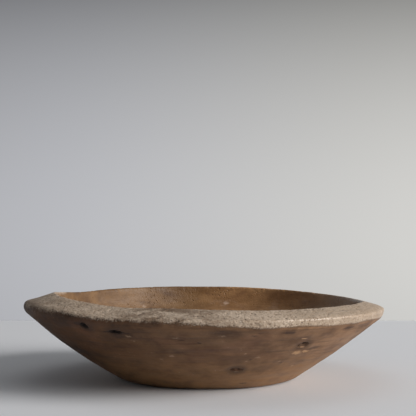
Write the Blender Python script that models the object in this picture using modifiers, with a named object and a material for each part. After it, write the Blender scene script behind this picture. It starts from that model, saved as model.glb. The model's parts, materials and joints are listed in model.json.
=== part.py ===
"""A shallow bowl hewn from one block of wood: walls that flare from a flat foot to a broad rim,
and four dead knots that sit loose in sockets of their own in the wall.

Metres. X runs along the grain, Z is up, and the foot stands on Z = 0 under the middle of the rim.
A turned blank gives the section, and hewing then pushes it off round and off level.
"""

import math

import bmesh
import bpy
from mathutils import Matrix, Vector
from mathutils.bvhtree import BVHTree

# Overall sizes of the blank
LENGTH = 0.346  # over the rim, along the grain
BREADTH = 0.333  # over the rim, across the grain, which shrinks more
HEIGHT = 0.079  # foot to the crest of the rim
FOOT = 0.166  # where the wall's line meets the ground

# Rim: from its inner crest the top slopes down to a shoulder, and a short lip face drops from there
RIM_WIDTH = 0.0255
RIM_FALL = 0.0083
LIP_FACE = 0.0072
LIP_OVERHANG = 0.0010  # how far the lip stands out over the wall below it
RIM_LEAN = 0.0040  # how far the rim's inner face leans in on its way down

# Wall and floor
WALL = 0.0150  # thickness half-way up
WALL_BELLY = 0.0030  # how far the outside swells past a straight flare
FLOOR = 0.0140

# How far from each corner of the section its rounding starts
WELL_EASE = 0.045
INNER_RIM_EASE = 0.010
CREST_EASE = 0.0032
SHOULDER_EASE = 0.0040
LIP_EASE = 0.0035
BELLY_EASE = 0.030
FOOT_EASE = 0.0075

# What the hewing leaves. Angles are in degrees, anticlockwise from +X as seen from above.
HOLLOW_OFFSET = 0.0060  # the hollow was dug this far towards +X, so the rim is broader at -X
FOOT_OFFSET = 0.0034  # the foot stands this far towards +X of the rim's middle
RIM_WAVES = (  # (waves round the rim, rise, angle of the first peak)
    (1, 0.0042, 163),
    (2, 0.0008, 27),
    (3, 0.0013, -36),
)
RIM_DIPS = (  # (angle, half-width in degrees, depth) of each worn hollow in the rim
    (158, 22, 0.0023),
    (7, 15, 0.0009),
    (-121, 15, 0.0028),
)
OUTLINE_WAVES = (  # (waves round the rim, swing, angle of the first peak)
    (2, 0.0004, 79),
    (3, 0.0012, 79),
    (4, 0.0012, 33),
)

# Dead knots: each a tapered plug of branch wood. A share of 0 is the wall's foot, 1 is the lip.
KNOTS = (  # (name, angle, share of the way up the wall, length along the grain, breadth)
    ("knot_under_rim", -126.5, 0.955, 0.0095, 0.0085),
    ("knot_split", -116.8, 0.890, 0.0130, 0.0065),
    ("knot_torn", -55.6, 0.693, 0.0120, 0.0095),
    ("knot_low", -76.2, 0.341, 0.0130, 0.0070),
)
KNOT_DEPTH = 0.0075
KNOT_TAPER = 0.62  # width of a knot's inner end over that of its outer end
KNOT_SUNK = 0.0007  # a knot shrinks below the wall round it
KNOT_CLEARANCE = 0.0003
KNOT_EDGE = 0.0006

# Fineness of the meshes
ROUND_STEPS = 96
ROW_SPACING = 0.016
KNOT_SIDES = 20
MERGE_DISTANCE = 0.00001

BOWL_COLOUR = (0.16, 0.088, 0.05, 1.0)
KNOT_COLOUR = (0.035, 0.022, 0.015, 1.0)


def clear_scene():
    for obj in list(bpy.data.objects):
        bpy.data.objects.remove(obj, do_unlink=True)


def new_collection(name):
    collection = bpy.data.collections.new(name)
    bpy.context.scene.collection.children.link(collection)
    return collection


def wood(name, colour, roughness):
    material = bpy.data.materials.new(name)
    material.use_nodes = True
    shader = material.node_tree.nodes["Principled BSDF"]
    shader.inputs["Base Color"].default_value = colour
    shader.inputs["Roughness"].default_value = roughness
    shader.inputs["Metallic"].default_value = 0.0
    return material


# The section of the blank, as points of (radius, height)


def wall_line():
    """The foot and the lip's lower edge, and the direction straight out of the wall between them."""
    foot = Vector((FOOT / 2, 0.0))
    lip = Vector((LENGTH / 2 - LIP_OVERHANG, HEIGHT - RIM_FALL - LIP_FACE))
    flare = (lip - foot).normalized()
    return foot, lip, Vector((flare.y, -flare.x))


def section_corners():
    """(point, ease) of each corner, from the middle of the well over the rim to the middle of the foot."""
    foot, lip, outward = wall_line()
    crest = LENGTH / 2 - RIM_WIDTH
    inside = foot - outward * (WALL - WALL_BELLY)  # a point on the line of the inner wall
    slope = -outward.x / outward.y
    well_radius = inside.x + (FLOOR - inside.y) / slope
    rim_foot = crest - RIM_LEAN
    return (
        (Vector((0.0, FLOOR)), 0.0),
        (Vector((well_radius, FLOOR)), WELL_EASE),
        (Vector((rim_foot, inside.y + slope * (rim_foot - inside.x))), INNER_RIM_EASE),
        (Vector((crest, HEIGHT)), CREST_EASE),
        (Vector((LENGTH / 2, HEIGHT - RIM_FALL)), SHOULDER_EASE),
        (lip, LIP_EASE),
        ((foot + lip) / 2 + outward * WALL_BELLY, BELLY_EASE),
        (foot, FOOT_EASE),
        (Vector((0.0, 0.0)), 0.0),
    )


def stretch(start, end):
    """Points from start to end, close enough together for the stretch to bend when it is hewn."""
    pieces = max(1, math.ceil((end - start).length / ROW_SPACING))
    return [start.lerp(end, piece / pieces) for piece in range(1, pieces + 1)]


def outline():
    """The section's outline with every corner rounded."""
    corners = section_corners()
    points = [corners[0][0]]
    for (before, _), (corner, ease), (after, _) in zip(corners, corners[1:], corners[2:]):
        arms = (before - corner, after - corner)
        ease = min(ease, arms[0].length * 0.48, arms[1].length * 0.48)
        start, end = (corner + arm.normalized() * ease for arm in arms)
        points += stretch(points[-1], start)
        steps = max(2, math.ceil(2 * ease / ROW_SPACING))
        for step in range(1, steps + 1):
            t = step / steps
            points.append(start * (1 - t) ** 2 + corner * 2 * t * (1 - t) + end * t**2)
    points.append(corners[-1][0])
    return points


def turned_blank():
    """The section turned about Z, as one closed mesh."""
    points = outline()
    mesh = bpy.data.meshes.new("section")
    edges = [(i, i + 1) for i in range(len(points) - 1)]
    mesh.from_pydata([(p.x, 0.0, p.y) for p in points], edges, [])
    section = bpy.data.objects.new("section", mesh)
    bpy.context.scene.collection.objects.link(section)
    turn = section.modifiers.new("Turn", "SCREW")
    turn.axis = "Z"
    turn.steps = turn.render_steps = ROUND_STEPS
    turn.use_merge_vertices = True
    turn.merge_threshold = MERGE_DISTANCE
    graph = bpy.context.evaluated_depsgraph_get()
    blank = bpy.data.meshes.new_from_object(section.evaluated_get(graph))
    bpy.data.objects.remove(section)
    bpy.data.meshes.remove(mesh)
    return blank


# Hewing


def angle_between(a, b):
    """The smaller angle from b to a, in degrees, with its sign."""
    return (a - b + 180) % 360 - 180


def waves(table, angle):
    """The sum of a table of waves at this angle."""
    return sum(
        swing * math.cos(count * math.radians(angle - peak)) for count, swing, peak in table
    )


def dips(angle):
    """How far the rim is worn down at this angle."""
    return sum(
        depth * math.exp(-((angle_between(angle, middle) / half_width) ** 2))
        for middle, half_width, depth in RIM_DIPS
    )


def eased_share(share):
    """The share held within 0 to 1, leaving and arriving gently."""
    share = min(1.0, max(0.0, share))
    return share * share * (3 - 2 * share)


def hewn(point):
    """Where a point of the turned blank ends up on the carved bowl. The foot stays flat."""
    radius = math.hypot(point.x, point.y)
    angle = math.degrees(math.atan2(point.y, point.x)) if radius else 0.0
    lift = point.z / HEIGHT
    spread = min(1.0, radius / (FOOT / 2))  # keeps the middle of the bowl still
    foot, _, outward = wall_line()
    depth = (foot - Vector((radius, point.z))).dot(outward)
    hollow_share = eased_share(depth / WALL)

    swollen = radius + waves(OUTLINE_WAVES, angle) * spread * lift
    x = math.cos(math.radians(angle)) * swollen
    x += HOLLOW_OFFSET * hollow_share + FOOT_OFFSET * (1 - lift)
    y = math.sin(math.radians(angle)) * swollen * BREADTH / LENGTH
    rise = (waves(RIM_WAVES, angle) - dips(angle)) * (spread * lift) ** 2
    return Vector((x, y, point.z + rise))


def centre_over_origin(mesh):
    """Moves the mesh sideways so that the middle of its bounding box is over the origin."""
    for axis in range(2):
        places = [vertex.co[axis] for vertex in mesh.vertices]
        middle = (min(places) + max(places)) / 2
        for vertex in mesh.vertices:
            vertex.co[axis] -= middle


def make_bowl(collection, material):
    mesh = turned_blank()
    mesh.name = "bowl"
    for vertex in mesh.vertices:
        vertex.co = hewn(vertex.co)
    centre_over_origin(mesh)
    mesh.shade_smooth()
    mesh.materials.append(material)
    bowl = bpy.data.objects.new("bowl", mesh)
    collection.objects.link(bowl)
    return bowl


# Knots


def place_on_wall(bowl_tree, angle, share):
    """A frame on the wall's outside: Z points straight out of the wall and X along it, level."""
    height = share * (HEIGHT - RIM_FALL - LIP_FACE)
    away = Vector((math.cos(math.radians(angle)), math.sin(math.radians(angle)), 0.0))
    place, normal, _, _ = bowl_tree.ray_cast(away * LENGTH + Vector((0, 0, height)), -away)
    level = Vector((0, 0, 1)).cross(normal).normalized()
    upward = normal.cross(level)
    frame = Matrix((level, upward, normal)).transposed().to_4x4()
    return Matrix.Translation(place) @ frame


def tapered_plug(name, length, breadth, low, high, room=0.0):
    """An oval plug about Z, with room added all round. Its sides narrow downwards from Z = 0."""
    narrowing = (1 - KNOT_TAPER) / KNOT_DEPTH
    mesh = bpy.data.meshes.new(name)
    shape = bmesh.new()
    bmesh.ops.create_cone(
        shape,
        cap_ends=True,
        segments=KNOT_SIDES,
        radius1=1,
        radius2=1,
        depth=high - low,
        matrix=Matrix.Translation((0, 0, (high + low) / 2)),
    )
    for vertex in shape.verts:
        share = 1 + narrowing * vertex.co.z
        vertex.co.x *= length / 2 * share + room
        vertex.co.y *= breadth / 2 * share + room
    shape.to_mesh(mesh)
    shape.free()
    return mesh


def make_knot(collection, cutters, bowl, bowl_tree, material, knot):
    """One knot, and the cutter that sinks its socket into the wall."""
    name, angle, share, length, breadth = knot
    frame = place_on_wall(bowl_tree, angle, share)
    plug = bpy.data.objects.new(
        name, tapered_plug(name, length, breadth, -KNOT_DEPTH, -KNOT_SUNK)
    )
    plug.matrix_world = frame
    plug.data.materials.append(material)
    collection.objects.link(plug)
    edge = plug.modifiers.new("Worn edge", "BEVEL")
    edge.width = KNOT_EDGE
    edge.segments = 2
    edge.limit_method = "ANGLE"

    bottom = -KNOT_DEPTH - KNOT_CLEARANCE
    cutter = bpy.data.objects.new(
        "socket_for_" + name,
        tapered_plug(name, length, breadth, bottom, KNOT_DEPTH, room=KNOT_CLEARANCE),
    )
    cutter.matrix_world = frame
    cutter.hide_render = True
    cutter.display_type = "WIRE"
    cutters.objects.link(cutter)
    socket = bowl.modifiers.new("Socket for " + name, "BOOLEAN")
    socket.operation = "DIFFERENCE"
    socket.solver = "EXACT"
    socket.object = cutter


def main():
    clear_scene()
    parts = new_collection("Carved wooden bowl")
    cutters = new_collection("Cutters")
    bowl = make_bowl(parts, wood("bowl wood", BOWL_COLOUR, 0.62))
    knot_wood = wood("knot wood", KNOT_COLOUR, 0.8)
    bowl_tree = BVHTree.FromPolygons(
        [vertex.co for vertex in bowl.data.vertices],
        [polygon.vertices for polygon in bowl.data.polygons],
    )
    for knot in KNOTS:
        make_knot(parts, cutters, bowl, bowl_tree, knot_wood, knot)


main()
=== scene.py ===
"""The looks of a bowl hewn from one block of wood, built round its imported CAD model.

A fine skin stands for the CAD bowl. It repeats the CAD's turned section and its hewing, adds what
carving and weather left on them, and has sockets for four dead knots, each a piece of its own.
Metres, with the foot on Z = 0 and the grain along X. Angles are in degrees, anticlockwise from +X
as seen from above. "Climb" is the way along the section up from the lip's lower edge: it grows over
the rim and into the hollow, and is below zero on the outside of the wall.
"""

import json
import math

import bpy
import numpy as np
from mathutils import Matrix, Vector, noise
from mathutils.bvhtree import BVHTree
from mathutils.kdtree import KDTree

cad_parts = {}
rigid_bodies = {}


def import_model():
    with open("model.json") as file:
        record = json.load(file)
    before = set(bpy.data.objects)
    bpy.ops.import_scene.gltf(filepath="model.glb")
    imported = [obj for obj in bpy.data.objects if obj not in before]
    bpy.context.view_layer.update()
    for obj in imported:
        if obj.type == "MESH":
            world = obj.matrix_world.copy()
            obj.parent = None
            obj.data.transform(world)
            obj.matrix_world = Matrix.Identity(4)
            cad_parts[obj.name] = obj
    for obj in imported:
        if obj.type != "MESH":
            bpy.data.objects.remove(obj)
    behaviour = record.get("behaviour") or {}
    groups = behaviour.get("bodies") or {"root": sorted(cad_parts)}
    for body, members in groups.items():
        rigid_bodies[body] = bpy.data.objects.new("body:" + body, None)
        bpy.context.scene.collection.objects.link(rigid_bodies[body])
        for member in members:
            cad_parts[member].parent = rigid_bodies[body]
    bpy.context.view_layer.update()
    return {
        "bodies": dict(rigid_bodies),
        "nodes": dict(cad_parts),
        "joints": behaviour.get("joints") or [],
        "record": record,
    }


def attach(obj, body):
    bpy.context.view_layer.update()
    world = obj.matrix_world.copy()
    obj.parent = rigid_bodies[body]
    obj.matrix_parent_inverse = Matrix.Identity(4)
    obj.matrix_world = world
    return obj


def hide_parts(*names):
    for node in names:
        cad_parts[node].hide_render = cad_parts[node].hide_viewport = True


# The CAD bowl's driving dimensions
LENGTH = 0.346
BREADTH = 0.333
HEIGHT = 0.079
FOOT = 0.166
RIM_WIDTH = 0.0255
RIM_FALL = 0.0083
LIP_FACE = 0.0072
LIP_OVERHANG = 0.0010
RIM_LEAN = 0.0040
WALL = 0.0150
WALL_BELLY = 0.0030
FLOOR = 0.0140
HOLLOW_OFFSET = 0.0060
FOOT_OFFSET = 0.0034
RIM_WAVES = ((1, 0.0042, 163), (2, 0.0008, 27), (3, 0.0013, -36))
RIM_DIPS = ((158, 22, 0.0023), (7, 15, 0.0009), (-121, 15, 0.0028))
OUTLINE_WAVES = ((2, 0.0004, 79), (3, 0.0012, 79), (4, 0.0012, 33))

# Fineness of the skin: the gap between its rows along each stretch of the section
FLOOR_ROWS = 0.0040
HOLLOW_ROWS = 0.0024
RIM_FACE_ROWS = 0.0013
RIM_TOP_ROWS = 0.0011
LIP_ROWS = 0.0009
UPPER_WALL_ROWS = 0.0018
LOWER_WALL_ROWS = 0.0022
UNDERSIDE_ROWS = 0.0050
MOST_COLUMNS = 768
FEWEST_COLUMNS = 48
COLUMN_STRETCH = 1.3  # how much wider than the rows the columns may be
SKIN_TOLERANCE = 0.0006  # how far the plain skin may be from the CAD bowl's surface

# Weathering
PALE_LEFT = 0.0050  # climb at which the bleached rim starts on the -X side: just below the shoulder
PALE_RIGHT = 0.0004  # and on the +X side, where the whole lip is bleached
SHOULDER_CLIMB = 0.0066  # where the lip turns over into the rim
CREST_CLIMB = 0.0332  # where the rim turns down into the hollow
UNDULATION = 0.0004
WALL_RIDGES = 0.00020
TOOL_MARKS = 0.00035
RIM_ROUGHNESS = 0.00014
RIM_PITS = 0.00040
LIP_STEP = 0.00025
SHOULDER_RIDGE = 0.0005
CREST_WIDTH = 0.0085  # how wide a band of climb the crest's wear takes
CREST_WEAR = 0.0002  # how far the crest is rounded down all round
CREST_WEAR_LEFT = 0.0003  # and how much further at the -X end
CREST_WEAR_FRONT = 0.0018  # and at the front of that end
HALO_REACH = 0.0110  # how far from a knot's middle the wood round it starts to sink
HALO_DEPTH = 0.0005

# Knots
KNOT_GAP = 0.0003
KNOT_SIDES = 56
KNOT_NARROWING = 0.38  # how much narrower its inner end is
SOCKET_REACH = 0.006  # how far a socket's cutter stands out of the wall
WALL_RADIUS = 0.145  # turns degrees round the wall into metres

# Stage
TABLE_SIDE = 2.4
TABLE_BACK = 0.607
WALL_BACK = 1.3
WINDOW_ANGLE = -19
WINDOW_ELEVATION = 20
WINDOW_DISTANCE = 7.0
WINDOW_SIDE = 3.8
WINDOW_POWER = 690.0
WINDOW_COLOUR = (1.0, 0.99, 0.985)
CEILING_PLACE = (0, 0.4, 2.2)
CEILING_SIDE = 1.6
CEILING_POWER = 3.2
CEILING_COLOUR = (0.97, 0.98, 1.0)
ROOM_COLOUR = (0.93, 0.96, 1.0, 1)
ROOM_STRENGTH = 0.19
TABLE_COLOUR = (0.738, 0.743, 0.757, 1)
TABLE_ROUGHNESS = 0.95
CAMERA_PLACE = (0.0036, -0.85, 0.129)
CAMERA_PITCH = 2.345  # degrees above level
CAMERA_LENS = 75.0  # millimetres, as the sensor's width is
CAMERA_SENSOR = 36.0

WOOD_SEED = Vector((3.1, 7.7, 1.3))


# The turned section


def wall_line():
    """The foot, the lip's lower edge, and the way straight out of the wall between them."""
    foot = Vector((FOOT / 2, 0.0))
    lip = Vector((LENGTH / 2 - LIP_OVERHANG, HEIGHT - RIM_FALL - LIP_FACE))
    flare = (lip - foot).normalized()
    return foot, lip, Vector((flare.y, -flare.x))


def section_corners():
    """(point, how far from it the rounding starts, row spacing after it), from well to foot."""
    foot, lip, outward = wall_line()
    crest = LENGTH / 2 - RIM_WIDTH
    inside = foot - outward * (WALL - WALL_BELLY)
    slope = -outward.x / outward.y
    well_radius = inside.x + (FLOOR - inside.y) / slope
    rim_foot = crest - RIM_LEAN
    return (
        (Vector((0.0, FLOOR)), 0.0, FLOOR_ROWS),
        (Vector((well_radius, FLOOR)), 0.045, HOLLOW_ROWS),
        (Vector((rim_foot, inside.y + slope * (rim_foot - inside.x))), 0.010, RIM_FACE_ROWS),
        (Vector((crest, HEIGHT)), 0.0032, RIM_TOP_ROWS),
        (Vector((LENGTH / 2, HEIGHT - RIM_FALL)), 0.0040, LIP_ROWS),
        (lip, 0.0035, UPPER_WALL_ROWS),
        ((foot + lip) / 2 + outward * WALL_BELLY, 0.030, LOWER_WALL_ROWS),
        (foot, 0.0075, UNDERSIDE_ROWS),
        (Vector((0.0, 0.0)), 0.0, UNDERSIDE_ROWS),
    )


def section_rows():
    """The section's points, and the row spacing that each was laid at."""
    corners = section_corners()
    points, spacings = [corners[0][0]], [FLOOR_ROWS]
    for before, here, after in zip(corners, corners[1:], corners[2:]):
        corner, ease, spacing_after = here
        arms = (before[0] - corner, after[0] - corner)
        ease = min(ease, arms[0].length * 0.48, arms[1].length * 0.48)
        start, end = (corner + arm.normalized() * ease for arm in arms)
        run = start - points[-1]
        pieces = max(1, math.ceil(run.length / before[2]))
        points += [points[-1] + run * piece / pieces for piece in range(1, pieces + 1)]
        finer = min(before[2], spacing_after)
        steps = max(3, math.ceil(2 * ease / finer))
        for step in range(1, steps + 1):
            t = step / steps
            points.append(start * (1 - t) ** 2 + corner * 2 * t * (1 - t) + end * t**2)
        spacings += [before[2]] * pieces + [finer] * steps
    run = corners[-1][0] - points[-1]
    pieces = math.ceil(run.length / UNDERSIDE_ROWS)
    points += [points[-1] + run * piece / pieces for piece in range(1, pieces + 1)]
    spacings += [UNDERSIDE_ROWS] * pieces
    return points, spacings


def climbs(points):
    """The climb of each of the section's points."""
    lip = wall_line()[1]
    lengths = [(b - a).length for a, b in zip(points, points[1:])]
    way = np.concatenate(([0.0], np.cumsum(lengths)))
    nearest = min(range(len(points)), key=lambda index: (points[index] - lip).length)
    return way[nearest] - way


def column_counts(points, spacings):
    """How many columns each row has: fewer on a short row, and at most twice its neighbour's."""
    counts = []
    for point, spacing in zip(points, spacings):
        columns = MOST_COLUMNS
        while columns > FEWEST_COLUMNS and (
            2 * math.pi * point.x / (columns / 2) <= spacing * COLUMN_STRETCH
        ):
            columns //= 2
        counts.append(columns)
    for order in (range(1, len(counts)), range(len(counts) - 2, -1, -1)):
        step = order.step
        for row in order:
            counts[row] = max(counts[row], counts[row - step] // 2)
    return counts


# Hewing, the same as the CAD's


def waves(table, angle):
    return sum(
        swing * np.cos(count * np.radians(angle - peak)) for count, swing, peak in table
    )


def dips(angle):
    return sum(depth * near(angle, middle, half_width) for middle, half_width, depth in RIM_DIPS)


def near(angle, middle, half_width):
    """1 at the middle angle, and falling away to nothing a few half-widths off it."""
    away = (angle - middle + 180) % 360 - 180
    return np.exp(-((away / half_width) ** 2))


def eased(value, low, high):
    """0 below low and 1 above high, leaving and arriving gently. Either may be the larger."""
    share = np.clip((value - low) / (high - low), 0, 1)
    return share * share * (3 - 2 * share)


def hewn(radius, height, angle):
    """Where points of the turned blank end up on the carved bowl."""
    lift = height / HEIGHT
    spread = np.minimum(1, radius / (FOOT / 2))
    foot, _, outward = wall_line()
    depth = (foot.x - radius) * outward.x + (foot.y - height) * outward.y
    swollen = radius + waves(OUTLINE_WAVES, angle) * spread * lift
    x = np.cos(np.radians(angle)) * swollen
    x += HOLLOW_OFFSET * eased(depth, 0, WALL) + FOOT_OFFSET * (1 - lift)
    y = np.sin(np.radians(angle)) * swollen * BREADTH / LENGTH
    rise = (waves(RIM_WAVES, angle) - dips(angle)) * (spread * lift) ** 2
    return np.stack((x, y, height + rise), axis=1)


# The skin's mesh


def faces_between(inner, outer):
    """Faces joining two rows of vertices, one of which may have twice as many as the other."""
    if len(inner) == len(outer):
        count = len(inner)
        return [
            (inner[i], outer[i], outer[(i + 1) % count], inner[(i + 1) % count])
            for i in range(count)
        ]
    fine_is_outer = len(outer) > len(inner)
    fine, coarse = (outer, inner) if fine_is_outer else (inner, outer)
    faces = []
    for i in range(len(coarse)):
        here, after = coarse[i], coarse[(i + 1) % len(coarse)]
        a, b, c = (fine[(2 * i + k) % len(fine)] for k in range(3))
        faces += [(here, a, b), (here, b, after), (after, b, c)]
    return faces if fine_is_outer else [face[::-1] for face in faces]


def skin_rows():
    """The plain skin: its points, faces, and the climb and angle of each point."""
    points, spacings = section_rows()
    row_climbs = climbs(points)
    counts = column_counts(points, spacings)
    counts[0] = counts[-1] = 1
    radius, height, angle, climb, rows = [], [], [], [], []
    for point, count, row_climb in zip(points, counts, row_climbs):
        rows.append(range(len(radius), len(radius) + count))
        radius += [point.x] * count
        height += [point.y] * count
        climb += [row_climb] * count
        angle += [360 * i / count for i in range(count)]
    faces = []
    for inner, outer in zip(rows, rows[1:]):
        if len(inner) == 1:
            faces += [(inner[0], a, b) for a, b in zip(outer, (*outer[1:], outer[0]))]
        elif len(outer) == 1:
            faces += [(outer[0], b, a) for a, b in zip(inner, (*inner[1:], inner[0]))]
        else:
            faces += faces_between(inner, outer)
    angle = np.array(angle)
    places = hewn(np.array(radius), np.array(height), angle)
    places[:, :2] -= (places[:, :2].min(0) + places[:, :2].max(0)) / 2
    return places, faces, np.array(climb), angle


def make_mesh(name, places, faces):
    mesh = bpy.data.meshes.new(name)
    mesh.from_pydata([tuple(place) for place in places], [], faces)
    mesh.shade_smooth()
    return mesh


def add_object(name, data, material=None):
    thing = bpy.data.objects.new(name, data)
    if material:
        data.materials.append(material)
    bpy.context.scene.collection.objects.link(thing)
    return thing


def vertex_normals(mesh):
    normals = np.zeros(len(mesh.vertices) * 3)
    mesh.vertex_normals.foreach_get("vector", normals)
    return normals.reshape(-1, 3)


def tree_of(mesh):
    return BVHTree.FromPolygons(
        [vertex.co for vertex in mesh.vertices],
        [polygon.vertices for polygon in mesh.polygons],
    )


def check_skin(places, cad_bowl):
    """Stops the script if the plain skin isn't where the CAD bowl's surface is."""
    tree = tree_of(cad_bowl.data)
    gaps = [tree.find_nearest(Vector(place))[3] for place in places[::37]]
    if np.percentile(gaps, 95) > SKIN_TOLERANCE:
        raise RuntimeError("the skin doesn't follow the packed bowl")


# What carving and weather left


def rough(places, stretch, octaves=1):
    """Noise at each point, about -0.5 to 0.5. Stretch is its detail per metre along each axis."""
    scaled = places * np.array(stretch)
    if octaves == 1:
        return np.array([noise.noise(Vector(place) + WOOD_SEED) for place in scaled])
    return np.array(
        [noise.fractal(Vector(place) + WOOD_SEED, 0.9, 2.1, octaves) for place in scaled]
    )


def crest_wear(angle):
    """How far the rim's crest is rounded down: most at the front of the -X end."""
    left = CREST_WEAR_LEFT * near(angle, 178, 30)
    return CREST_WEAR + left + CREST_WEAR_FRONT * near(angle, -143, 18)


def pale_edge(places, climb, angle):
    """How far inside the bleached zone's ragged lower edge each point is."""
    right = eased(np.cos(np.radians(angle)), -0.30, 0.32)
    edge = PALE_LEFT + (PALE_RIGHT - PALE_LEFT) * right
    wander = rough(places, (34, 34, 34)) * 0.0020 + rough(places, (150, 150, 150)) * 0.0004
    return climb - edge - wander


def weather(places, normals, climb, angle, bleach, marks):
    """The skin's points, moved along their normals by what carving and weather left."""
    rim = eased(climb, -0.001, 0.004) * eased(climb, CREST_CLIMB + 0.006, CREST_CLIMB - 0.001)
    outside = eased(climb, -0.001, -0.006)
    hollow = eased(climb, CREST_CLIMB + 0.005, CREST_CLIMB + 0.015)
    push = rough(places, (22, 26, 26)) * UNDULATION
    push += rough(places, (14, 14, 190)) * WALL_RIDGES * outside
    push += rough(places, (30, 30, 60)) * TOOL_MARKS * (outside + hollow)
    push += rough(places, (60, 60, 60), 3) * RIM_ROUGHNESS * rim
    pits = rough(places, (330, 360, 360))
    push -= eased(pits, 0.20, 0.40) * RIM_PITS * rim
    sunk = eased(bleach, 0.0002, -0.0007) * eased(climb, -0.004, 0.001)
    push -= sunk * LIP_STEP
    shoulder = np.exp(-(((climb - SHOULDER_CLIMB) / 0.0016) ** 2))
    push += near(angle, -62, 34) * shoulder * SHOULDER_RIDGE
    push -= np.exp(-(((climb - CREST_CLIMB) / CREST_WIDTH) ** 2)) * crest_wear(angle)
    for mark in marks:
        push -= mark
    moved = places + normals * push[:, None]
    moved[:, 2] = np.maximum(moved[:, 2], 0)
    return moved


# Knots


def knot_frame(node, skin_tree):
    """A CAD knot's frame, half-length, half-breadth and depth. Z points out of the wall."""
    places = np.array([vertex.co for vertex in node.data.vertices])
    middle = Vector(places.mean(0))
    place, normal, _, _ = skin_tree.find_nearest(middle)
    level = Vector((0, 0, 1)).cross(normal).normalized()
    upward = normal.cross(level)
    frame = Matrix.Translation(place) @ Matrix((level, upward, normal)).transposed().to_4x4()
    local = np.array([frame.inverted() @ Vector(p) for p in places])
    return frame, np.abs(local[:, 0]).max(), np.abs(local[:, 1]).max(), -local[:, 2].min()


def knot_outline(seed, turn):
    """How far out of true a knot's outline is at this turn, in radians: 1 on average."""
    spot = Vector((math.cos(turn), math.sin(turn), seed * 5.3))
    return 0.95 + 0.16 * noise.noise(spot * 1.1) + 0.05 * noise.noise(spot * 4.0)


def knot_ring(half_length, half_breadth, seed, share, height, room=0.0):
    """Points of one ring about a knot's axis, at this share of its full width."""
    ring = []
    for side in range(KNOT_SIDES):
        turn = 2 * math.pi * side / KNOT_SIDES
        size = min(1.0, knot_outline(seed, turn)) * share
        ring.append(
            Vector(
                (
                    math.cos(turn) * (half_length * size + room),
                    math.sin(turn) * (half_breadth * size + room),
                    height,
                )
            )
        )
    return ring


def stacked(rings):
    """Points and faces of a closed body through these rings, the first being its top middle."""
    points = [point for ring in rings for point in ring]
    starts = np.cumsum([0] + [len(ring) for ring in rings])
    faces = []
    for (a, b), (low, high) in zip(zip(starts, starts[1:]), zip(rings, rings[1:])):
        if len(low) == 1:
            faces += [(a, b + i, b + (i + 1) % len(high)) for i in range(len(high))]
        elif len(high) == 1:
            faces += [(b, a + (i + 1) % len(low), a + i) for i in range(len(low))]
        else:
            count = len(low)
            faces += [
                (a + i, b + i, b + (i + 1) % count, a + (i + 1) % count) for i in range(count)
            ]
    return points, faces


def make_knot(node, skin_tree, seed, wear, material):
    """A knot's plug, worn on the end that shows, and the cutter for its socket."""
    relief, sunk, stain = wear
    frame, half_length, half_breadth, depth = knot_frame(node, skin_tree)
    rings = [[Vector((0, 0, 0))]]
    for share in (0.08, 0.17, 0.26, 0.35, 0.44, 0.53, 0.62, 0.71, 0.79, 0.86, 0.92, 0.97):
        rings.append(knot_ring(half_length, half_breadth, seed, share, 0))
    for ring in rings:
        for point in ring:
            along, up = point.x / half_length, point.y / half_breadth
            grain = noise.fractal(point * 900 + WOOD_SEED * seed, 0.8, 2, 3) * 0.00018
            rounding = 0.0006 * math.hypot(along, up) ** 6
            point.z = grain - sunk - rounding - relief(along, up)
    rings.append(knot_ring(half_length, half_breadth, seed, 1.0, -sunk - 0.0014))
    for share in (0.3, 0.6, 0.9):
        width = 1 - KNOT_NARROWING * share
        rings.append(knot_ring(half_length, half_breadth, seed, width, -depth * share - 0.0004))
    rings.append(knot_ring(half_length, half_breadth, seed, 1 - KNOT_NARROWING, -depth))
    rings.append([Vector((0, 0, -depth))])
    local, faces = stacked(rings)
    mesh = make_mesh(node.name, [frame @ place for place in local], faces)
    knot = add_object(node.name + "_plug", mesh, material)
    # Painted shade: the deeper a point lies below the wall, in the knot's holes and cracks and down
    # its sides in the socket, the darker it is; the stain is the knot's own darkness.
    deep = eased(-np.array([place.z for place in local]) - sunk, 0.0004, 0.0022)
    set_attribute(knot.data, "dark", np.maximum(deep, stain))
    proud = [splinters(place.x / half_length, place.y / half_breadth) for place in local]
    set_attribute(knot.data, "proud", proud if relief is torn else [0.0] * len(local))

    size = (half_length, half_breadth, depth)
    return knot, make_cutter(node.name, frame, size, seed), frame


def make_cutter(knot_name, frame, size, seed):
    """The body that cuts a knot's socket: the knot's outline with room round it."""
    half_length, half_breadth, depth = size
    narrowing = KNOT_NARROWING / depth
    mouth = [
        knot_ring(half_length, half_breadth, seed, 1 + narrowing * height, height, KNOT_GAP)
        for height in (SOCKET_REACH, 0.0, -depth - KNOT_GAP)
    ]
    top, bottom = Vector((0, 0, SOCKET_REACH)), Vector((0, 0, -depth - KNOT_GAP))
    places, faces = stacked([[top], *mouth, [bottom]])
    mesh = make_mesh("cutter", [frame @ place for place in places], faces)
    return add_object("cutter_" + knot_name, mesh)


# How the end of each knot is worn: how deep at each place along and up it, which go from -1 to 1


def blob(along, up, middle, half_widths):
    """1 at the middle, falling away to nothing a few half-widths off."""
    across = ((along - middle[0]) / half_widths[0]) ** 2 + ((up - middle[1]) / half_widths[1]) ** 2
    return math.exp(-across)


def rotten(along, up):
    """A rotten hollow towards one end."""
    return 0.0032 * blob(along, up, (0.30, -0.05), (0.48, 0.62))


def split(along, up):
    """A hole that narrows to a crack along the grain."""
    hole = 0.0050 * blob(along, up, (-0.22, -0.05), (0.30, 0.60))
    return hole + 0.0030 * blob(along, up + 0.1 * along, (0.42, 0.0), (0.50, 0.30))


def torn(along, up):
    """Torn end grain: deep above, with splinters left standing below."""
    deep = 0.0026 * blob(along, up, (0.05, 0.32), (0.42, 0.40))
    return deep - 0.0005 * splinters(along, up)


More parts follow.
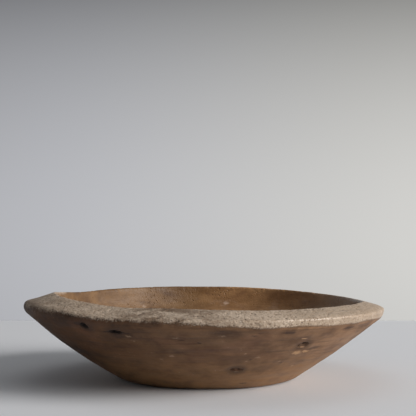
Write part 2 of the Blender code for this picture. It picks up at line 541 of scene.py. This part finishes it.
def splinters(along, up):
    """Where torn fibres stand proud: 1 on them and 0 between them."""
    fibre = noise.noise(Vector((along * 3.2, up * 9.0, 4.0)))
    below = blob(along, up, (-0.45, -0.75), (0.50, 0.30))
    below += blob(along, up, (0.40, -0.75), (0.35, 0.25))
    return float(min(1.0, below * 1.3) * eased(fibre, -0.35, 0.05))


def checked(along, up):
    """Short cracks across a weathered heart."""
    left = 0.0030 * blob(along, up, (-0.48, 0.12), (0.22, 0.34))
    right = 0.0024 * blob(along, up, (0.38, 0.05), (0.20, 0.40))
    return left + right + 0.0010 * blob(along, up, (0.0, 0.15), (0.70, 0.16))


KNOTS = {  # (how its end is worn, how far it has shrunk below the wall, how dark it is)
    "knot_under_rim": (rotten, 0.0005, 0.78),
    "knot_split": (split, 0.0004, 0.74),
    "knot_torn": (torn, 0.0003, 0.48),
    "knot_low": (checked, 0.0003, 0.34),
}

# Marks on the skin: (angle, climb, half-length, half-height, tilt), lengths in metres, and for the
# dark ones how deep they are cut
DARK_MARKS = (
    (-128.6, -0.0012, 0.0040, 0.0018, 8, 0.0003),  # a tail from the knot under the rim
    (-113.9, -0.0100, 0.0045, 0.0014, 4, 0.0009),  # the crack that runs on from the split knot
    (-119.6, -0.0088, 0.0040, 0.0010, 4, 0.0004),
    (-49.0, -0.0362, 0.0075, 0.0022, 10, 0.0004),  # a streak from the torn knot
    (-96.9, -0.0178, 0.0028, 0.0009, 4, 0.0003),
    (-90.8, -0.0215, 0.0026, 0.0009, 0, 0.0003),
    (-75.2, -0.0106, 0.0028, 0.0008, -6, 0.0002),
    (-73.5, -0.0070, 0.0020, 0.0007, 0, 0.0002),
    (-84.8, -0.0033, 0.0022, 0.0008, 0, 0.0002),
    (-72.5, -0.0494, 0.0020, 0.0009, 0, 0.0002),
    (-58.2, -0.0583, 0.0020, 0.0010, 0, 0.0002),
    (-68.6, -0.0962, 0.0060, 0.0011, 0, 0.0),
    (-64.9, -0.0070, 0.0045, 0.0020, 0, 0.0),
    (-41.8, -0.0070, 0.0060, 0.0022, 0, 0.0),
    (48.0, -0.0240, 0.0060, 0.0016, 6, 0.0004),
    (121.0, -0.0420, 0.0080, 0.0020, -5, 0.0004),
    (166.0, -0.0180, 0.0045, 0.0014, 3, 0.0003),
)
PALE_MARKS = (
    (-113.1, -0.0142, 0.0018, 0.0011, 0),
    (-84.6, -0.0106, 0.0026, 0.0007, 0),
    (-98.3, -0.0142, 0.0020, 0.0008, 0),
    (-101.4, -0.0435, 0.0024, 0.0012, 0),
    (-105.9, -0.0494, 0.0018, 0.0009, 0),
    (-70.1, -0.0465, 0.0022, 0.0014, 0),
    (-73.7, -0.0524, 0.0014, 0.0009, 0),
    (-59.7, -0.0553, 0.0014, 0.0010, 0),
    (-49.3, -0.0672, 0.0018, 0.0010, 0),
    (-76.0, -0.0715, 0.0018, 0.0009, 0),
    (62.0, -0.0500, 0.0026, 0.0012, 0),
    (-172.0, -0.0350, 0.0024, 0.0010, 0),
)
TORN_MARKS = (  # raw wood round the torn knot
    (-57.8, -0.0178, 0.0024, 0.0009, -12),
    (-55.3, -0.0415, 0.0046, 0.0026, -14),
    (-51.8, -0.0400, 0.0036, 0.0016, -14),
)
SCUFFS = (
    (105.4, 0.0586, 0.0032, 0.0020, 0),
    (108.0, 0.0594, 0.0020, 0.0015, 0),
    (120.0, 0.0535, 0.0028, 0.0016, 0),
    (126.3, 0.0570, 0.0024, 0.0014, 0),
    (80.0, 0.0507, 0.0030, 0.0018, 0),
    (-60.0, 0.0587, 0.0060, 0.0030, 0),
    (-140.0, 0.0737, 0.0070, 0.0040, 0),
)


def mark_depth(climb, angle, mark):
    """How deep a mark has cut at each point of the skin."""
    middle, mark_climb, half_length, half_height, _, depth = mark
    away = np.radians((angle - middle + 180) % 360 - 180) * WALL_RADIUS
    across = (away / half_length) ** 2 + ((climb - mark_climb) / half_height) ** 2
    return depth * np.exp(-across)


# Colours of the wood, each an RGBA value

WALL_DARK = (0.038, 0.015, 0.0045, 1)
WALL_DARK_DRY = (0.138, 0.065, 0.028, 1)
WALL_LIGHT = (0.106, 0.044, 0.013, 1)
WALL_LIGHT_DRY = (0.318, 0.177, 0.092, 1)
WALL_RED = (0.190, 0.078, 0.036, 1)
WALL_FIBRE = (0.055, 0.024, 0.012, 1)
# Paler, warmer wood near the foot, partly painted bounce light from the table.
WALL_FOOT_AND_BOUNCE_LIGHT = (0.315, 0.165, 0.066, 1)
WALL_WORN = (0.42, 0.28, 0.18, 1)
DARK_MARK = (0.030, 0.013, 0.008, 1)
PALE_MARK = (0.500, 0.330, 0.210, 1)
TORN_MARK = (0.560, 0.330, 0.170, 1)
HALO = (0.030, 0.015, 0.010, 1)
HOLLOW_DARK = (0.112, 0.055, 0.020, 1)
HOLLOW_LIGHT = (0.190, 0.102, 0.041, 1)
HOLLOW_STAIN = (0.075, 0.034, 0.016, 1)
HOLLOW_SCUFF = (0.430, 0.320, 0.240, 1)
# Painted fill light: the hollow's +X end, which lies in shade, is multiplied lighter here, and a
# little greyer.
HOLLOW_FILL_LIGHT = (2.7, 2.75, 3.0, 1)  # what the hollow's colour is multiplied by towards +X
# Drier, greyer wood at the hollow's +X end, lighter than the hollow's own colours, so partly
# painted fill light.
HOLLOW_DRY_AND_FILL_LIGHT = (0.360, 0.280, 0.215, 1)
RIM_DARK = (0.350, 0.258, 0.180, 1)
RIM_LIGHT = (0.500, 0.390, 0.290, 1)
RIM_SPECKLE = (0.570, 0.470, 0.370, 1)
RIM_FINE_PIT = (0.120, 0.070, 0.040, 1)
RIM_PIT = (0.060, 0.033, 0.020, 1)
RIM_WORN = (0.140, 0.085, 0.048, 1)
RIM_DULL = (0.320, 0.232, 0.160, 1)
RIM_TIP = (0.085, 0.045, 0.026, 1)
RIM_LINE = (0.085, 0.045, 0.025, 1)
KNOT_DARK = (0.080, 0.038, 0.020, 1)
KNOT_LIGHT = (0.250, 0.135, 0.075, 1)
# Near black: rot, and painted shade deep in the knots' holes, cracks and sockets.
KNOT_ROT_AND_SHADE = (0.012, 0.007, 0.005, 1)
KNOT_FIBRE = (0.560, 0.330, 0.180, 1)

# Materials


class Nodes:
    """A new material, and short calls that add nodes to it and give back their outputs."""

    def __init__(self, name):
        self.material = bpy.data.materials.new(name)
        self.material.use_nodes = True
        self.tree = self.material.node_tree
        self.shader = self.tree.nodes["Principled BSDF"]
        place = self.tree.nodes.new("ShaderNodeTexCoord")
        self.place = place.outputs["Object"]

    def feed(self, socket, value):
        if isinstance(value, bpy.types.NodeSocket):
            self.tree.links.new(value, socket)
        else:
            socket.default_value = value

    def add(self, kind, inputs, output=0, **settings):
        node = self.tree.nodes.new(kind)
        for name, value in settings.items():
            setattr(node, name, value)
        for name, value in inputs.items():
            self.feed(node.inputs[name], value)
        return node.outputs[output]

    def math(self, operation, a, b=0.0):
        return self.add("ShaderNodeMath", {0: a, 1: b}, operation=operation)

    def plus(self, a, b):
        return self.math("ADD", a, b)

    def minus(self, a, b):
        return self.math("SUBTRACT", a, b)

    def times(self, a, b):
        return self.math("MULTIPLY", a, b)

    def axes(self):
        """The place's X, Y and Z."""
        node = self.tree.nodes.new("ShaderNodeSeparateXYZ")
        self.feed(node.inputs[0], self.place)
        return node.outputs

    def ramp(self, value, low, high, to_low=0.0, to_high=1.0):
        """Goes gently from to_low where the value is low to to_high where it is high."""
        inputs = {0: value, 1: low, 2: high, 3: to_low, 4: to_high}
        return self.add("ShaderNodeMapRange", inputs, interpolation_type="SMOOTHSTEP")

    def mix(self, share, a, b, blend="MIX"):
        inputs = {0: share, 6: a, 7: b}
        return self.add("ShaderNodeMix", inputs, 2, data_type="RGBA", blend_type=blend)

    def vector(self, operation, a, b, output=0):
        return self.add("ShaderNodeVectorMath", {0: a, 1: b}, output, operation=operation)

    def noise(self, detail_per_metre, octaves=3.0, roughness=0.55, distortion=0.0, seed=0.0):
        """Noise from 0 to 1. Its detail per metre is given along each axis."""
        place = self.vector("MULTIPLY", self.place, detail_per_metre)
        place = self.vector("ADD", place, (seed, seed * 1.7, seed * 0.6))
        inputs = {
            "Vector": place,
            "Scale": 1.0,
            "Detail": octaves,
            "Roughness": roughness,
            "Distortion": distortion,
        }
        return self.add("ShaderNodeTexNoise", inputs)

    def cells(self, detail_per_metre, randomness=1.0, output="Distance"):
        place = self.vector("MULTIPLY", self.place, detail_per_metre)
        inputs = {"Vector": place, "Scale": 1.0, "Randomness": randomness}
        return self.add("ShaderNodeTexVoronoi", inputs, output)

    def attribute(self, name):
        return self.add("ShaderNodeAttribute", {}, "Fac", attribute_name=name)

    def bump(self, height, distance, strength=1.0, below=None):
        inputs = {"Height": height, "Distance": distance, "Strength": strength}
        if below is not None:
            inputs["Normal"] = below
        return self.add("ShaderNodeBump", inputs)


def marked(nodes, spot, marks, edge):
    """1 inside any of these marks and 0 outside. Spot is (way round the wall, climb), in metres."""
    total = 0.0
    for middle, climb, half_length, half_height, tilt, *_ in marks:
        inputs = {
            "Vector": spot,
            "Location": (math.radians(middle) * WALL_RADIUS, climb, 0),
            "Rotation": (0, 0, math.radians(tilt)),
            "Scale": (half_length, half_height, 1),
        }
        local = nodes.add("ShaderNodeMapping", inputs, vector_type="TEXTURE")
        away = nodes.vector("LENGTH", local, (0, 0, 0), "Value")
        inside = nodes.ramp(away, 1 + edge, 1 - edge)
        total = nodes.math("MAXIMUM", total, inside)
    return total


def near_turn(nodes, turn, middle, half_width):
    """1 where the turn round the bowl is at the middle angle, and 0 a half-width from it."""
    away = nodes.math("ABSOLUTE", nodes.minus(turn, math.radians(middle)))
    return nodes.ramp(away, math.radians(half_width), 0.0)


def mark_spot(nodes, turn, climb):
    """(way round the wall, climb) in metres, with a little wobble so that marks are ragged."""
    round_wall = nodes.times(turn, WALL_RADIUS)
    spot = nodes.add("ShaderNodeCombineXYZ", {0: round_wall, 1: climb, 2: 0.0})
    inputs = {"Vector": nodes.place, "Scale": 420.0, "Detail": 3.0}
    wobble = nodes.add("ShaderNodeTexNoise", inputs, "Color")
    wobble = nodes.vector("SUBTRACT", wobble, (0.5, 0.5, 0.5))
    wobble = nodes.vector("MULTIPLY", wobble, (0.0050, 0.0040, 0.0))
    return nodes.vector("ADD", spot, wobble)


def wall_colour(nodes, x, z, spot, fibres, streaks, blotches, clouds):
    """Dark with handling towards -X, warmer and drier towards +X, and paler and warmer near the
    foot, partly as painted bounce light from the table.
    """
    bands = nodes.noise((7, 7, 40), 3, 0.5, 0.6, seed=9)
    specks = nodes.noise((360, 360, 420), 2, 0.5, seed=6)
    share = nodes.plus(nodes.times(streaks, 0.45), nodes.times(bands, 0.6))
    share = nodes.ramp(nodes.plus(share, nodes.times(blotches, 0.85)), 0.74, 1.17)
    dry = nodes.ramp(nodes.plus(x, nodes.times(clouds, 0.14)), -0.07, 0.21)
    dark = nodes.mix(dry, WALL_DARK, WALL_DARK_DRY)
    light = nodes.mix(dry, WALL_LIGHT, WALL_LIGHT_DRY)
    wall = nodes.mix(share, dark, light)
    wall = nodes.mix(nodes.times(nodes.ramp(clouds, 0.52, 0.66), 0.35), wall, WALL_RED)
    wall = nodes.mix(nodes.ramp(fibres, 0.50, 0.32, 0, 0.42), wall, WALL_FIBRE)
    # Paler and warmer near the foot: partly the wood's colour, partly painted bounce light from the
    # table.
    low = nodes.ramp(nodes.plus(z, nodes.times(clouds, -0.030)), 0.026, -0.008)
    low = nodes.times(low, nodes.ramp(blotches, 0.25, 0.60, 0.3, 0.8))
    wall = nodes.mix(low, wall, WALL_FOOT_AND_BOUNCE_LIGHT)
    worn = nodes.times(nodes.ramp(specks, 0.64, 0.74), nodes.ramp(blotches, 0.48, 0.62, 0, 0.4))
    wall = nodes.mix(worn, wall, WALL_WORN)
    dark_marks = marked(nodes, spot, DARK_MARKS, 0.45)
    return nodes.mix(nodes.times(dark_marks, 0.62), wall, DARK_MARK)


def hollow_colour(nodes, x, spot, clouds):
    """Oiled and warm, scuffed pale, drier and greyer towards +X, and painted lighter there as fill
    light where the hollow's end lies in shade.
    """
    polish = nodes.noise((26, 46, 60), 5, 0.62, 0.2, seed=3)
    hollow = nodes.mix(nodes.ramp(polish, 0.30, 0.70), HOLLOW_DARK, HOLLOW_LIGHT)
    stain = nodes.ramp(nodes.noise((40, 60, 80), 4, 0.6, 0.2, seed=15), 0.56, 0.72)
    hollow = nodes.mix(nodes.times(stain, 0.50), hollow, HOLLOW_STAIN)
    bloom = nodes.ramp(nodes.noise((36, 50, 60), 5, 0.66, seed=8), 0.54, 0.76, 0, 0.14)
    scuffs = marked(nodes, spot, SCUFFS, 0.6)
    scuffed = nodes.math("MAXIMUM", bloom, nodes.times(scuffs, 0.42))
    hollow = nodes.mix(scuffed, hollow, HOLLOW_SCUFF)
    # Painted fill light: the hollow is made lighter towards +X, where it lies in shade.
    hollow = nodes.mix(nodes.ramp(x, -0.03, 0.06), hollow, HOLLOW_FILL_LIGHT, "MULTIPLY")
    # Drier and greyer towards +X, and lighter than the hollow's own colours, so partly painted fill
    # light.
    dry_and_fill = nodes.ramp(nodes.plus(x, nodes.times(clouds, 0.05)), 0.12, 0.175, 0, 0.75)
    return nodes.mix(dry_and_fill, hollow, HOLLOW_DRY_AND_FILL_LIGHT)


def rim_pits(nodes):
    """1 in the rim's small holes, which come in clusters."""
    holes = nodes.cells((300, 330, 330))
    where = nodes.ramp(nodes.noise((45, 60, 60), 3, 0.6, seed=13), 0.50, 0.64)
    return nodes.times(nodes.ramp(holes, 0.30, 0.14), where)


def rim_colour(nodes, x, turn, climb, speckle, pits, blotches):
    """Bleached grey, speckled and pitted, and dark where it is worn."""
    tone = nodes.noise((60, 90, 120), 5, 0.65, 0.3, seed=5)
    rim = nodes.mix(nodes.ramp(tone, 0.32, 0.68), RIM_DARK, RIM_LIGHT)
    rim = nodes.mix(nodes.ramp(speckle, 0.54, 0.70, 0, 0.5), rim, RIM_SPECKLE)
    rim = nodes.mix(nodes.times(nodes.ramp(speckle, 0.46, 0.34), 0.65), rim, RIM_FINE_PIT)
    rim = nodes.mix(nodes.times(pits, 0.70), rim, RIM_PIT)
    front = nodes.times(near_turn(nodes, turn, -100, 26), nodes.ramp(tone, 0.66, 0.40))
    rim = nodes.mix(nodes.times(front, 0.90), rim, RIM_WORN)
    rim = nodes.mix(nodes.ramp(x, 0.05, 0.14, 0, 0.45), rim, RIM_DULL)
    tip = nodes.times(near_turn(nodes, turn, -160, 18), nodes.ramp(climb, 0.020, 0.006))
    tip = nodes.times(tip, nodes.ramp(blotches, 0.36, 0.58, 0, 0.7))
    return nodes.mix(tip, rim, RIM_TIP)


def bleached_edge(nodes, x):
    """How far inside the bleached zone a place is, with an edge that frays more towards -X."""
    fray = nodes.minus(nodes.noise((620, 620, 760), 4, 0.70, seed=7), 0.5)
    fray = nodes.times(fray, nodes.ramp(x, 0.05, -0.02, 0.0045, 0.0110))
    return nodes.plus(nodes.attribute("bleach"), fray)


def in_hollow(nodes, y, climb, blotches):
    """1 in the hollow and 0 outside it, with an edge that wanders."""
    fade = nodes.plus(climb, nodes.times(nodes.minus(blotches, 0.5), 0.006))
    fade = nodes.plus(fade, nodes.ramp(y, 0.0, 0.05, 0.0, 0.0045))
    return nodes.ramp(fade, CREST_CLIMB - 0.0020, CREST_CLIMB + 0.0035)


def knot_halo(nodes, knot_places, blotches):
    """How far the wood round each knot is stained."""
    halo = 0.0
    for knot_place in knot_places:
        away = nodes.vector("DISTANCE", nodes.place, tuple(knot_place), "Value")
        halo = nodes.math("MAXIMUM", halo, nodes.ramp(away, 0.0125, 0.0045))
    return nodes.times(halo, nodes.ramp(blotches, 0.40, 0.58, 0.08, 0.66))


def wood_roughness(nodes, x, climb, streaks, on_rim, within):
    """Duller on the rim's -X side, glossier in the hollow and along the shoulder's +X side."""
    roughness = nodes.minus(nodes.ramp(streaks, 0.30, 0.70, 0.50, 0.66), nodes.times(within, 0.12))
    handled = nodes.times(on_rim, nodes.ramp(x, -0.08, 0.03, 0.12, -0.12))
    ridge = nodes.math("ABSOLUTE", nodes.minus(climb, SHOULDER_CLIMB))
    ridge = nodes.times(nodes.ramp(ridge, 0.0030, 0.0008), nodes.ramp(x, -0.01, 0.04))
    return nodes.minus(nodes.plus(roughness, handled), nodes.times(ridge, 0.14))


def bowl_wood(knot_places):
    """Old hardwood: dark and handled outside, bleached and pitted on the rim, polished within."""
    nodes = Nodes("bowl wood")
    x, y, z = nodes.axes()
    climb = nodes.attribute("climb")
    turn = nodes.math("ARCTAN2", y, x)
    spot = mark_spot(nodes, turn, climb)
    fibres = nodes.noise((34, 34, 430), 4, 0.6)
    streaks = nodes.noise((18, 18, 170), 4, 0.6, 0.3, seed=4)
    blotches = nodes.noise((50, 50, 75), 5, 0.64, seed=2)
    clouds = nodes.noise((15, 15, 24), 4, 0.55, 0.3, seed=21)
    speckle = nodes.noise((560, 560, 640), 2, 0.6, seed=11)
    pits = rim_pits(nodes)

    edge = bleached_edge(nodes, x)
    on_rim = nodes.ramp(edge, -0.0012, 0.0012)
    within = in_hollow(nodes, y, climb, blotches)
    wall = wall_colour(nodes, x, z, spot, fibres, streaks, blotches, clouds)
    rim = rim_colour(nodes, x, turn, climb, speckle, pits, blotches)
    colour = nodes.mix(on_rim, wall, rim)
    line = nodes.times(nodes.ramp(edge, -0.0022, -0.0005), nodes.ramp(edge, 0.0005, -0.0003))
    colour = nodes.mix(nodes.times(line, 0.35), colour, RIM_LINE)
    colour = nodes.mix(within, colour, hollow_colour(nodes, x, spot, clouds))
    colour = nodes.mix(knot_halo(nodes, knot_places, blotches), colour, HALO)
    pale_marks = marked(nodes, spot, PALE_MARKS, 0.6)
    colour = nodes.mix(nodes.times(pale_marks, 0.38), colour, PALE_MARK)
    torn_marks = marked(nodes, spot, TORN_MARKS, 0.5)
    colour = nodes.mix(nodes.times(torn_marks, 0.80), colour, TORN_MARK)
    nodes.feed(nodes.shader.inputs["Base Color"], colour)

    roughness = wood_roughness(nodes, x, climb, streaks, on_rim, within)
    nodes.feed(nodes.shader.inputs["Roughness"], roughness)
    nodes.shader.inputs["Specular IOR Level"].default_value = 0.35

    grain = nodes.plus(nodes.times(fibres, 0.6), nodes.times(streaks, 0.9))
    rim_relief = nodes.times(nodes.minus(nodes.times(speckle, 0.6), pits), on_rim)
    normal = nodes.bump(rim_relief, 0.0008, below=nodes.bump(grain, 0.00045))
    nodes.feed(nodes.shader.inputs["Normal"], normal)
    return nodes.material


def knot_wood():
    """Dead branch wood: near black where it has rotted and, as painted shade, the deeper it lies in
    holes, cracks and its socket, with paler torn fibres standing proud.
    """
    nodes = Nodes("knot wood")
    # The dark attribute holds the knot's own darkness and painted shade that deepens with depth.
    dark = nodes.attribute("dark")
    proud = nodes.attribute("proud")
    tone = nodes.noise((260, 260, 260), 4, 0.6, seed=2)
    fibres = nodes.noise((90, 90, 700), 4, 0.6, 0.4, seed=5)
    share = nodes.plus(nodes.times(tone, 0.6), nodes.times(fibres, 0.6))
    colour = nodes.mix(nodes.ramp(share, 0.42, 0.80), KNOT_DARK, KNOT_LIGHT)
    # Rot and painted shade together: near black where the knot is dark or lies deep.
    rot_and_shade = nodes.plus(dark, nodes.times(nodes.minus(tone, 0.5), 0.5))
    colour = nodes.mix(nodes.ramp(rot_and_shade, 0.10, 0.85), colour, KNOT_ROT_AND_SHADE)
    pale = nodes.times(proud, nodes.ramp(tone, 0.36, 0.56))
    colour = nodes.mix(pale, colour, KNOT_FIBRE)
    nodes.feed(nodes.shader.inputs["Base Color"], colour)
    nodes.feed(nodes.shader.inputs["Roughness"], nodes.ramp(tone, 0.3, 0.7, 0.70, 0.92))
    nodes.shader.inputs["Specular IOR Level"].default_value = 0.25
    nodes.feed(nodes.shader.inputs["Normal"], nodes.bump(share, 0.0007))
    return nodes.material


def set_attribute(mesh, name, values):
    attribute = mesh.attributes.new(name, "FLOAT", "POINT")
    attribute.data.foreach_set("value", np.asarray(values, np.float32))


def vertex_places(mesh):
    places = np.zeros(len(mesh.vertices) * 3)
    mesh.vertices.foreach_get("co", places)
    return places.reshape(-1, 3)


def cut_sockets(skin, cutters):
    """Cuts each socket, and removes its cutter."""
    for cutter in cutters:
        socket = skin.modifiers.new("Socket", "BOOLEAN")
        socket.operation = "DIFFERENCE"
        socket.solver = "EXACT"
        socket.object = cutter
    graph = bpy.context.evaluated_depsgraph_get()
    cut = bpy.data.meshes.new_from_object(skin.evaluated_get(graph))
    skin.modifiers.clear()
    skin.data = cut
    for cutter in cutters:
        bpy.data.objects.remove(cutter)


def make_skin(frame):
    """The bowl's skin and its knots, riding on the part's one body."""
    places, faces, climb, angle = skin_rows()
    check_skin(places, frame["nodes"]["bowl"])
    plain = make_mesh("plain skin", places, faces)
    skin_tree = tree_of(plain)
    normals = vertex_normals(plain)

    dark = knot_wood()
    knots, cutters, knot_places = [], [], []
    for seed, (name, wear) in enumerate(KNOTS.items()):
        knot, cutter, knot_at = make_knot(frame["nodes"][name], skin_tree, seed + 1, wear, dark)
        knots.append(knot)
        cutters.append(cutter)
        knot_places.append(knot_at.translation)

    bleach = pale_edge(places, climb, angle)
    marks = [mark_depth(climb, angle, mark) for mark in DARK_MARKS if mark[-1]]
    for knot_place in knot_places:
        away = np.linalg.norm(places - np.array(knot_place), axis=1)
        marks.append(eased(away, HALO_REACH, 0.0050) * HALO_DEPTH)
    moved = weather(places, normals, climb, angle, bleach, marks)
    skin = add_object("bowl_skin", make_mesh("bowl skin", moved, faces), bowl_wood(knot_places))
    cut_sockets(skin, cutters)

    lookup = KDTree(len(moved))
    for index, place in enumerate(moved):
        lookup.insert(place, index)
    lookup.balance()
    source = [lookup.find(place)[1] for place in vertex_places(skin.data)]
    set_attribute(skin.data, "climb", climb[source])
    set_attribute(skin.data, "bleach", bleach[source])

    for piece, node, slot in (
        (skin, "bowl", "bowl_wood"),
        *((knot, name, "knot_wood") for knot, name in zip(knots, KNOTS)),
    ):
        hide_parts(node)
        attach(piece, "root")


# The stage


def plain(name, colour, roughness):
    nodes = Nodes(name)
    tone = nodes.noise((3, 3, 3), 3, seed=1)
    darker = tuple(channel * 0.97 for channel in colour[:3]) + (1,)
    nodes.feed(nodes.shader.inputs["Base Color"], nodes.mix(tone, darker, colour))
    nodes.shader.inputs["Roughness"].default_value = roughness
    nodes.shader.inputs["Specular IOR Level"].default_value = 0.1
    return nodes.material


def glowing_wall():
    """A pale wall that glows: its glow is painted light, brightest near the table and towards +X,
    and dimmer above.
    """
    nodes = Nodes("backdrop")
    x, _, z = nodes.axes()
    # Painted light: the glow's strength stands in for window light falling on the wall.
    above = nodes.minus(z, 0.13)
    dim = nodes.times(nodes.times(above, above), -1.46)
    upward = nodes.math("MAXIMUM", nodes.plus(dim, 1.0), 0.35)
    side = nodes.times(nodes.math("MINIMUM", nodes.math("MAXIMUM", x, -0.8), 0.5), 0.30)
    brightness = nodes.times(upward, nodes.plus(side, 1.0))
    tint = nodes.mix(nodes.ramp(x, -0.5, 0.5), (0.540, 0.548, 0.580, 1), (0.556, 0.552, 0.535, 1))
    lit = nodes.vector("SCALE", tint, (0, 0, 0))
    nodes.feed(lit.node.inputs["Scale"], brightness)
    nodes.shader.inputs["Base Color"].default_value = (0, 0, 0, 1)
    nodes.shader.inputs["Specular IOR Level"].default_value = 0.0
    nodes.shader.inputs["Emission Strength"].default_value = 1.0
    nodes.feed(nodes.shader.inputs["Emission Color"], lit)
    return nodes.material


def make_panel(name, corners, material):
    mesh = bpy.data.meshes.new(name)
    mesh.from_pydata(corners, [], [(0, 1, 2, 3)])
    add_object(name, mesh, material)


def make_stage():
    side, back, wall = TABLE_SIDE, TABLE_BACK, WALL_BACK
    table = plain("table", TABLE_COLOUR, TABLE_ROUGHNESS)
    make_panel(
        "table", [(-side, -side, 0), (side, -side, 0), (side, back, 0), (-side, back, 0)], table
    )
    make_panel(
        "backdrop",
        [(-side, wall, -1), (side, wall, -1), (side, wall, side), (-side, wall, side)],
        glowing_wall(),
    )


def make_light(name, place, aim, side, power, colour):
    data = bpy.data.lights.new(name, "AREA")
    data.shape = "SQUARE"
    data.size = side
    data.energy = power
    data.color = colour
    light = add_object(name, data)
    light.location = place
    light.rotation_euler = (Vector(aim) - Vector(place)).to_track_quat("-Z", "Y").to_euler()


def make_lights():
    """A window to the right and a little in front, a pale ceiling, and the room's dim light."""
    turn, climb = math.radians(WINDOW_ANGLE), math.radians(WINDOW_ELEVATION)
    level = math.cos(climb) * WINDOW_DISTANCE
    place = (math.cos(turn) * level, math.sin(turn) * level, math.sin(climb) * WINDOW_DISTANCE)
    make_light("window", place, (0, 0, 0.05), WINDOW_SIDE, WINDOW_POWER, WINDOW_COLOUR)
    make_light(
        "ceiling", CEILING_PLACE, (0, 0, 0), CEILING_SIDE, CEILING_POWER, CEILING_COLOUR
    )
    world = bpy.data.worlds.new("room")
    world.use_nodes = True
    sky = world.node_tree.nodes["Background"]
    sky.inputs["Color"].default_value = ROOM_COLOUR
    sky.inputs["Strength"].default_value = ROOM_STRENGTH
    bpy.context.scene.world = world


def make_camera():
    data = bpy.data.cameras.new("camera")
    data.sensor_width = CAMERA_SENSOR
    data.lens = CAMERA_LENS
    camera = add_object("camera", data)
    camera.location = CAMERA_PLACE
    camera.rotation_euler = (math.radians(90 + CAMERA_PITCH), 0, 0)
    bpy.context.scene.camera = camera
    bpy.context.scene.view_settings.view_transform = "Standard"


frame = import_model()
make_skin(frame)
make_stage()
make_lights()
make_camera()
